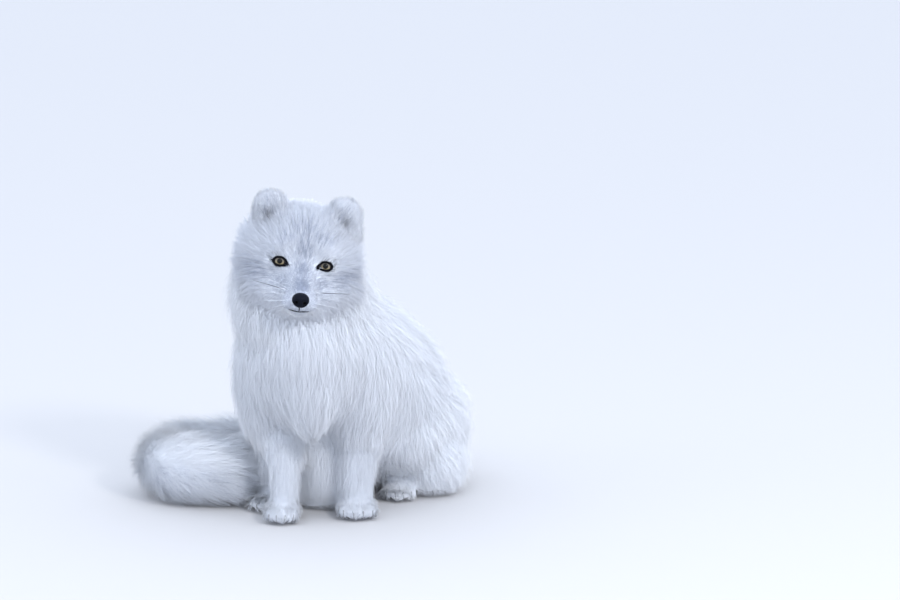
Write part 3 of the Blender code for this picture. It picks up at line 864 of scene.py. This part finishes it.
def mixed(tree, share, first, second, kind="RGBA"):
    node = put(tree, "ShaderNodeMix", {"data_type": kind}, {"Factor": share, "A": first, "B": second})
    return out(node)


def mapRange(tree, value, low, high, way="LINEAR"):
    node = put(tree, "ShaderNodeMapRange", {"interpolation_type": way}, {
        "Value": value, "From Min": low, "From Max": high})
    return out(node)


def fineNoise(tree, scale, detail):
    where = out(put(tree, "ShaderNodeTexCoord"), "Object")
    node = put(tree, "ShaderNodeTexNoise", {}, {"Vector": where, "Scale": scale, "Detail": detail})
    return out(node, "Fac")


def markingGroup():
    # the coat's colours, for the skin and for the tufts alike
    tree, given, final = newTree("marking", "ShaderNodeTree", {
        "White": "Color", "Shade": "Color", "Short": "Color", "Grey": "Color", "Dark": "Color",
        "Depth": "Float", "Tone": "Float"}, "Colour", "Color")
    # grey hairs stand among the white ones: the more grey a place, the more of its hairs. On the tail's
    # lower side this grey is painted shade
    share = maths(tree, "MULTIPLY_ADD", readAttribute(tree, "grey"), 1.5, -1.0)
    grey = maths(tree, "MULTIPLY", maths(tree, "ADD", share, given["Tone"]), 2.4)
    grey.node.use_clamp = True
    # painted shade where the coat is short and over whole parts, mixed towards the Short colour
    base = mixed(tree, readAttribute(tree, "thin"), given["White"], given["Short"])
    # painted shade near each hair's root: Depth mixes towards the Shade colour
    colour = mixed(tree, given["Depth"], base, given["Shade"])
    colour = mixed(tree, grey, colour, given["Grey"])
    # the Dark colour: black skin round the eyes, and painted shade in the ears' hollows
    tree.links.new(mixed(tree, readAttribute(tree, "dark"), colour, given["Dark"]), final)
    return tree


def markedColour(tree, group, depth, tone):
    colours = {key.capitalize(): coatColours[key] for key in ("white", "shade", "short", "grey", "dark")}
    node = put(tree, "ShaderNodeGroup", {"node_tree": group}, {**colours, "Depth": depth, "Tone": tone})
    return out(node)


def coatMaterial(group):
    material, tree, shader = newMaterial("winter_coat", {
        "Roughness": 0.62, "Sheen Weight": 0.5, "Sheen Roughness": 0.5})
    # painted shade mask: full at the hair's root, gone at seven tenths of its length
    root = mapRange(tree, readAttribute(tree, "along"), 0.7, 0.0)
    tone = mixed(tree, coatColours["lockShare"], readAttribute(tree, "strandTone"),
                 readAttribute(tree, "tuftTone"), "FLOAT")
    feed(tree, shader, {"Base Color": markedColour(tree, group, root, tone)})
    return material


def skinMaterial(group):
    material, tree, shader = newMaterial("undercoat", {"Roughness": 0.85})
    noise = fineNoise(tree, 700.0, 3.0)
    spread = mapRange(tree, fineNoise(tree, 1300.0, 1.0), 0.3, 0.7)
    bump = put(tree, "ShaderNodeBump", {}, {"Height": noise, "Strength": 0.5, "Distance": 0.001})
    # the skin between the roots swings through fine noise towards the painted root shade colour
    feed(tree, shader, {"Base Color": markedColour(tree, group, noise, spread), "Normal": out(bump)})
    return material


eyeLook = {"radius": 0.0081, "bulge": 0.0006, "pupil": 0.37, "iris": 0.72}


def buildEyeBall(name, side, material):
    mesh = ballMesh(name, 48, 36)
    local = readPoints(mesh)
    fromAxis = np.hypot(local[:, 0], local[:, 2])
    bulge = np.where(local[:, 1] < 0, eyeLook["bulge"] * ramp(0.75, 0.1, fromAxis), 0.0)
    points = (local * (eyeLook["radius"] + bulge)[:, None]) @ eyeAxes(side).T + boxCentre(name)
    store(mesh, "gaze", local)
    writePoints(mesh, points)
    mesh.shade_smooth()
    return newObject(name + "_ball", mesh, material)


def eyeMaterial():
    material, tree, shader = newMaterial("eye", {
        "Roughness": 0.25, "Specular IOR Level": 0.0, "Coat Weight": 1.0, "Coat Roughness": 0.03,
        "Coat IOR": 1.30})
    spot = put(tree, "ShaderNodeSeparateXYZ", {}, {0: readAttribute(tree, "gaze", "Vector")})
    across, up = out(spot, "X"), out(spot, "Z")
    length = put(tree, "ShaderNodeVectorMath", {"operation": "LENGTH"}, {0: joined(tree, across, up)})
    radius = out(length, "Value")
    angle = maths(tree, "ARCTAN2", up, across)
    rays = joined(tree, maths(tree, "MULTIPLY", angle, 7.0), maths(tree, "MULTIPLY", radius, 2.5))
    fibre = put(tree, "ShaderNodeTexNoise", {}, {"Vector": rays, "Scale": 1.6, "Detail": 3.0})
    iris = mixed(tree, out(fibre, "Fac"), (0.060, 0.052, 0.042, 1), (0.24, 0.215, 0.175, 1))
    # the iris is amber and lighter below, darker above: partly its own colour, partly painted shade of the
    # upper lid
    paintedLowerIrisLight = mapRange(tree, up, 0.15, -0.45)
    iris = mixed(tree, maths(tree, "MULTIPLY", paintedLowerIrisLight, 0.80), iris, (0.42, 0.34, 0.19, 1))
    rim = mapRange(tree, radius, eyeLook["iris"] - 0.12, eyeLook["iris"], "SMOOTHSTEP")
    colour = mixed(tree, rim, iris, (0.012, 0.010, 0.010, 1))
    pupil = mapRange(tree, radius, eyeLook["pupil"] + 0.04, eyeLook["pupil"] - 0.03, "SMOOTHSTEP")
    feed(tree, shader, {"Base Color": mixed(tree, pupil, colour, (0.002, 0.002, 0.002, 1))})
    return material


lidLook = {"halfWidth": 0.0080, "halfHeight": 0.0049, "ball": 0.0091, "thick": 0.00145,
           "cornerDrop": 0.0030, "cornerReach": 0.0020, "tail": 0.0065}


def buildLids(name, side, surface, material):
    count, ring = 56, 8
    middle, axes = boxCentre(name), eyeAxes(side)

    def skinBehind(x, z):
        start = vec(x, -0.03, z) @ axes.T + middle
        return surface.tree.ray_cast(Vector(start), Vector(axes[:, 1]))[0]

    line = []
    for step in range(count):
        # an almond outline, whose inner corner dips
        angle = 2 * math.pi * step / count
        across, up = math.cos(angle), math.sin(angle)       # across is 1 at the outer corner
        inner = max(-across, 0.0) ** 3
        x = side * (lidLook["halfWidth"] * across - lidLook["cornerReach"] * inner)
        z = lidLook["halfHeight"] * math.copysign(abs(up) ** 1.15, up) - lidLook["cornerDrop"] * inner
        depth = -math.sqrt(max(lidLook["ball"] ** 2 - x * x - z * z, 0.0))
        hit = skinBehind(x, z)
        if hit is not None:
            skinDepth = float((np.array(hit) - middle) @ axes[:, 1])
            depth = min(depth, max(skinDepth - 0.0002, -0.0125))
        line.append(vec(x, depth, z))
    line = np.array(line)
    line[:, 1] = sum(np.roll(line[:, 1], shift) for shift in (-2, -1, 0, 1, 2)) / 5
    outward = unit(line)
    sideways = unit(np.cross(unit(np.roll(line, -1, axis=0) - np.roll(line, 1, axis=0)), outward))
    points, faces = [], []
    for index in range(count):
        across = math.cos(2 * math.pi * index / count)
        thick = lidLook["thick"] * (1.0 + 0.25 * max(-across, 0) ** 2)
        for corner in range(ring):
            spin = 2 * math.pi * corner / ring
            offset = outward[index] * math.cos(spin) * thick * 0.8
            offset = offset + sideways[index] * math.sin(spin) * thick
            points.append(tuple((line[index] + offset) @ axes.T + middle))
            a, b = index * ring, (index + 1) % count * ring
            beside = (corner + 1) % ring
            faces.append((a + corner, a + beside, b + beside, b + corner))
    # the inner corner is filled, and a dark line runs out from the outer one
    inner = line[count // 2]
    heads = [inner + vec(side * step, -0.0002, step * 0.45) for step in (-0.0010, 0.0012, 0.0034)]
    addTube(points, faces, [head @ axes.T + middle for head in heads], (0.0007, 0.0015, 0.0009), 8)
    steps = np.linspace(0, 1, 8)
    tail = [skinBehind(side * (lidLook["halfWidth"] - 0.0006 + lidLook["tail"] * t), 0.0004) for t in steps]
    addTube(points, faces, [np.array(hit) - axes[:, 1] * 0.0006 for hit in tail],
            [0.0010 * (1 - 0.75 * t) for t in steps], 6)
    return closedPiece(name + "_lids", points, faces, material)


noseLook = {"half": (0.0102, 0.0080, 0.0086), "nostril": (0.0047, -0.0010), "nostrilDepth": 0.0040,
            "groove": 0.0010}


def buildNose(material):
    mesh = ballMesh("nose_pad", 80, 60)
    local = readPoints(mesh)
    half = np.array(noseLook["half"])
    spot = np.sign(local) * np.abs(local) ** vec(0.90, 0.80, 0.88) * half
    spot[:, 0] *= 1.0 - 0.16 * ramp(0.0, -half[2], spot[:, 2])      # narrower below
    front = ramp(0.0, -half[1] * 0.5, spot[:, 1])
    x, z = np.abs(spot[:, 0]), spot[:, 2]
    nx, nz = noseLook["nostril"]
    # comma-shaped nostrils: a round hole that runs out to the side
    hole = np.exp(-(((x - nx) / 0.0021) ** 2 + ((z - nz) / 0.0026) ** 2))
    slit = np.exp(-(((x - nx - 0.0028) / 0.0026) ** 2 + ((z - nz + 0.0018) / 0.0011) ** 2))
    nostril = np.maximum(hole, slit * 0.8)
    spot[:, 1] += front * noseLook["nostrilDepth"] * nostril
    groove = np.exp(-((x / 0.0008) ** 2)) * ramp(0.002, -0.003, z)
    spot[:, 1] += front * noseLook["groove"] * groove
    # the nostrils' hollows, a mask for their painted shade and their roughness
    store(mesh, "hollow", np.clip(front * nostril, 0, 1))
    writePoints(mesh, fromHead(spot) + boxCentre("nose"))
    mesh.shade_smooth()
    return newObject("nose_pad", mesh, material)


def noseMaterial():
    material, tree, shader = newMaterial("nose_leather", {"Specular IOR Level": 0.06})
    where = out(put(tree, "ShaderNodeTexCoord"), "Object")
    pebble = out(put(tree, "ShaderNodeTexVoronoi", {}, {"Vector": where, "Scale": 1300.0}), "Distance")
    hollow = readAttribute(tree, "hollow")
    base = mixed(tree, pebble, (0.006, 0.008, 0.015, 1), (0.003, 0.004, 0.008, 1))
    bump = put(tree, "ShaderNodeBump", {"invert": True}, {
        "Height": pebble, "Strength": 0.45, "Distance": 0.0004})
    # painted shade: the nostrils' hollows are painted near black, and made rougher
    feed(tree, shader, {"Base Color": mixed(tree, hollow, base, (0.002, 0.002, 0.002, 1)),
                        "Roughness": maths(tree, "MULTIPLY_ADD", hollow, 0.55, 0.38), "Normal": out(bump)})
    return material


def plainDark(name, colour):
    material, tree, shader = newMaterial(name, {"Roughness": 0.45, "Specular IOR Level": 0.04})
    light = tuple(c * 1.8 for c in colour[:3]) + (1,)
    feed(tree, shader, {"Base Color": mixed(tree, fineNoise(tree, 600.0, 2.0), colour, light)})
    return material


def addTube(verts, faces, points, radii, sides):
    # a closed round rod through the points
    base = len(verts)
    points = np.array(points, float)
    ahead = unit(np.gradient(points, axis=0))
    up = vec(0.1, 0.2, 1.0) if abs(ahead[0][2]) < 0.9 else vec(1.0, 0.1, 0.0)
    for spot, way, radius in zip(points, ahead, radii):
        one = unit(np.cross(way, up))
        two = np.cross(way, one)
        for corner in range(sides):
            spin = 2 * math.pi * corner / sides
            verts.append(tuple(spot + radius * (one * math.cos(spin) + two * math.sin(spin))))
    for start in range(base, len(verts) - sides, sides):
        for corner in range(sides):
            a, b = start + corner, start + (corner + 1) % sides
            faces.append((a, b, b + sides, a + sides))
    faces.append(tuple(range(base, base + sides))[::-1])
    faces.append(tuple(range(len(verts) - sides, len(verts))))


def rodPiece(name, rods, sides, material):
    verts, faces = [], []
    for points, radii in rods:
        addTube(verts, faces, points, radii, sides)
    return closedPiece(name, verts, faces, material)


class Surface:
    # finds the skin straight behind a place in the head's axes
    def __init__(self, mesh):
        self.tree = BVHTree.FromPolygons([tuple(v.co) for v in mesh.vertices],
                                         [tuple(p.vertices) for p in mesh.polygons])

    def behind(self, x, z, lift):
        start = fromHead(vec(x, -0.12, z)) + headOrigin
        hit, normal, _, _ = self.tree.ray_cast(Vector(start), Vector(fromHead(vec(0.0, 1.0, 0.0))))
        return np.array(hit) + np.array(normal) * lift


mouthLook = {"halfWidth": 0.0118, "height": -0.0376, "smile": 0.0006, "thick": 0.00065, "lift": 0.0016}


def buildMouth(surface, material):
    line, radii = [], []
    for step in range(25):
        across = step / 12 - 1
        x = across * mouthLook["halfWidth"]
        smile = abs(across) ** 1.6 - 0.25 * math.exp(-(across / 0.18) ** 2)
        z = mouthLook["height"] + mouthLook["smile"] * smile
        line.append(surface.behind(x, z, mouthLook["lift"]))
        radii.append(mouthLook["thick"] * (1 - 0.75 * abs(across) ** 3))
    groove = [surface.behind(0.0, z, 0.0012) for z in np.linspace(-0.0300, mouthLook["height"], 6)]
    return rodPiece("mouth_line", [(line, radii), (groove, [0.00055] * 6)], 8, material)


whiskerLook = {"thick": 0.00019, "darkThick": 0.00038, "sweep": 0.22}     # sweep: how far they bend back
whiskerRoots = (
    # across and height of the root in the head's axes, length, rise in degrees, droop, darkness
    (0.0165, -0.0215, 0.042, 12, 0.10, 1.0), (0.0170, -0.0245, 0.036, 4, 0.16, 0.25),
    (0.0160, -0.0275, 0.040, -6, 0.12, 0.15), (0.0150, -0.0190, 0.034, 24, 0.10, 0.10),
    (0.0130, -0.0300, 0.028, -20, 0.10, 0.10),
)


def buildWhiskers(surface, material):
    rods, shades = [], []
    steps = np.linspace(0, 1, 12)
    back = fromHead(vec(0.0, 1.0, 0.0))
    for side in (-1, 1):
        for x, z, length, rise, droop, dark in whiskerRoots:
            root = surface.behind(side * x, z, -0.0005)
            tilt = math.radians(rise * (1.0 if side < 0 else 0.55))
            aside = fromHead(vec(side * math.cos(tilt), -0.06, math.sin(tilt)))
            line = [root + aside * length * t + down * length * droop * t * t
                    + back * length * whiskerLook["sweep"] * t * t for t in steps]
            thick = whiskerLook["thick"] + whiskerLook["darkThick"] * dark
            rods.append((line, [thick * (1 - 0.8 * t) for t in steps]))
            shades.append(np.repeat(dark * ramp(0.10, 0.30, steps), 5))
    piece = rodPiece("whiskers", rods, 5, material)
    store(piece.data, "shade", np.concatenate(shades))
    return piece


def whiskerMaterial():
    material, tree, shader = newMaterial("whisker", {"Roughness": 0.45})
    colour = mixed(tree, readAttribute(tree, "shade"), (0.80, 0.83, 0.90, 1), (0.03, 0.03, 0.04, 1))
    feed(tree, shader, {"Base Color": colour})
    return material


feet = {
    # node: place of the middle, heading in degrees, length, half width, height
    "forepaw_right": (-0.0435, 0.006, -3, 0.054, 0.0225, 0.028),
    "forepaw_left": (0.0445, 0.026, 5, 0.054, 0.0255, 0.028),
    "hind_foot_right": (-0.0580, 0.08212, -16, 0.086, 0.0225, 0.026),
    "hind_foot_left": (0.0920, 0.13812, 4, 0.086, 0.0225, 0.026),
}
clawLook = {"toe": 0.0100, "length": 0.0075, "thick": 0.0014, "arch": 0.0015, "drop": 0.0080,
            "leastHeight": 0.0012}


def buildClaws(material):
    rods = []
    steps = np.linspace(0, 1, 7)
    toe = clawLook["toe"]
    for middleX, middleY, heading, length, halfWidth, height in feet.values():
        turn = math.radians(heading)
        x0, y0 = np.array((middleX, middleY)) + bodyShift[:2]
        for step in range(4):
            across = (step - 1.5) / 1.5
            reach = length * 0.5 - toe * (0.75 if abs(across) < 0.5 else 1.25)
            x, y = across * (halfWidth - toe * 0.8), -reach - toe * 0.55
            line = []
            for t in steps:
                ahead = y - clawLook["length"] * t
                up = height * 0.40 + clawLook["arch"] * math.sin(math.pi * t) - clawLook["drop"] * t * t
                line.append((x0 + x * math.cos(turn) - ahead * math.sin(turn),
                             y0 + x * math.sin(turn) + ahead * math.cos(turn),
                             max(up, clawLook["leastHeight"])))
            rods.append((line, [clawLook["thick"] * (1 - 0.86 * t ** 1.4) for t in steps]))
    return rodPiece("claws", rods, 8, material)


stageLook = {"size": 60.0, "colour": (0.555, 0.548, 0.550, 1.0), "sky": (0.79, 0.865, 1.0, 1.0),
             "skyStrength": 1.66}
lamps = {
    # place, aim, size, power, colour
    "front_soft": ((1.50, -2.50, 2.05), (0, 0, 0.2), 0.5, 42.0, (1.0, 0.975, 0.96)),
    "side_soft": ((2.8, -1.0, 1.3), (0, 0, 0.2), 1.8, 6.0, (1.0, 0.975, 0.96)),
    "left_soft": ((-2.0, -0.9, 0.9), (0, 0, 0.15), 1.6, 6.0, (0.97, 0.98, 1.0)),
}


def buildFloor():
    shape = bmesh.new()
    bmesh.ops.create_grid(shape, x_segments=2, y_segments=2, size=stageLook["size"] / 2)
    material, _, _ = newMaterial("floor", {"Roughness": 0.9, "Base Color": stageLook["colour"]})
    floor = newObject("floor", meshFrom(shape, "floor"), material)


def buildWorld():
    world = bpy.data.worlds.new("sky")
    world.use_nodes = True
    feed(world.node_tree, world.node_tree.nodes["Background"], {
        "Color": stageLook["sky"], "Strength": stageLook["skyStrength"]})
    scene.world = world


def standing(name, data, place, way):
    # a light or a camera at its place, looking its way
    obj = newObject(name, data)
    obj.location = place
    obj.rotation_euler = way.to_track_quat("-Z", "Y").to_euler()
    return obj


def buildLight(name, place, aim, size, power, colour):
    lamp = bpy.data.lights.new(name, "AREA")
    lamp.shape = "DISK"
    lamp.size = size
    lamp.energy = power
    lamp.color = colour
    standing(name, lamp, place, Vector(aim) - Vector(place))


cameraLook = {"elevation": 12.0, "distance": 8.0, "aim": (0.17842, -0.10, 0.26896), "width": 1.062}


def buildCamera():
    lens = bpy.data.cameras.new("camera")
    lens.sensor_width = 36.0
    lens.lens = lens.sensor_width * cameraLook["distance"] / cameraLook["width"]
    lens.clip_start, lens.clip_end = 0.1, 200.0
    rise = math.radians(cameraLook["elevation"])
    back = Vector((0.0, -math.cos(rise), math.sin(rise)))
    place = Vector(cameraLook["aim"]) + back * cameraLook["distance"]
    scene.camera = standing("camera", lens, place, -back)


# everything is built in this order: skin, coat, eyes, mouth, claws, whiskers, nose, stage
fleshNodes = [name for name in sorted(nodes) if not name.startswith(("eye", "nose"))]
finder = NodeFinder()
skin = buildSkin(finder)
wrapEyes(skin.data)
skin.data.shade_smooth()
print("skin", len(skin.data.vertices), "points")
dressSkin(skin, finder)
print("skin dressed")
unwrap(skin)
print("skin unwrapped")

marking = markingGroup()
stocks = {name: tuftCollection(name) for name in tuftLooks}
coats = growCoat(skin, coatTree(), stocks, coatMaterial(marking))
skin.data.materials.append(skinMaterial(marking))
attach(skin, "root")
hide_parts(*fleshNodes)
for piece in coats:
    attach(piece, "root")

surface = Surface(skin.data)
eyeFinish = eyeMaterial()
blackSkin = plainDark("black_skin", (0.0035, 0.0035, 0.005, 1))
for name, side in eyeSides.items():
    ball = buildEyeBall(name, side, eyeFinish)
    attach(ball, "root")
    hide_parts(name)
    lids = buildLids(name, side, surface, blackSkin)
    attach(lids, "root")
hornFinish = plainDark("claw_horn", (0.24, 0.24, 0.26, 1))
for piece, slotName in ((buildMouth(surface, blackSkin), "nose"), (buildClaws(hornFinish), "paw"),
                        (buildWhiskers(surface, whiskerMaterial()), "coat")):
    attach(piece, "root")
nose = buildNose(noseMaterial())
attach(nose, "root")
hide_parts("nose")
print("face built")

buildFloor()
buildWorld()
for name, look in lamps.items():
    buildLight(name, *look)
buildCamera()
scene.view_settings.view_transform = "Standard"
for name in list(bpy.data.objects.keys()):
    if name.startswith("tuft_"):
        bpy.data.objects.remove(bpy.data.objects[name])
print("stage built")
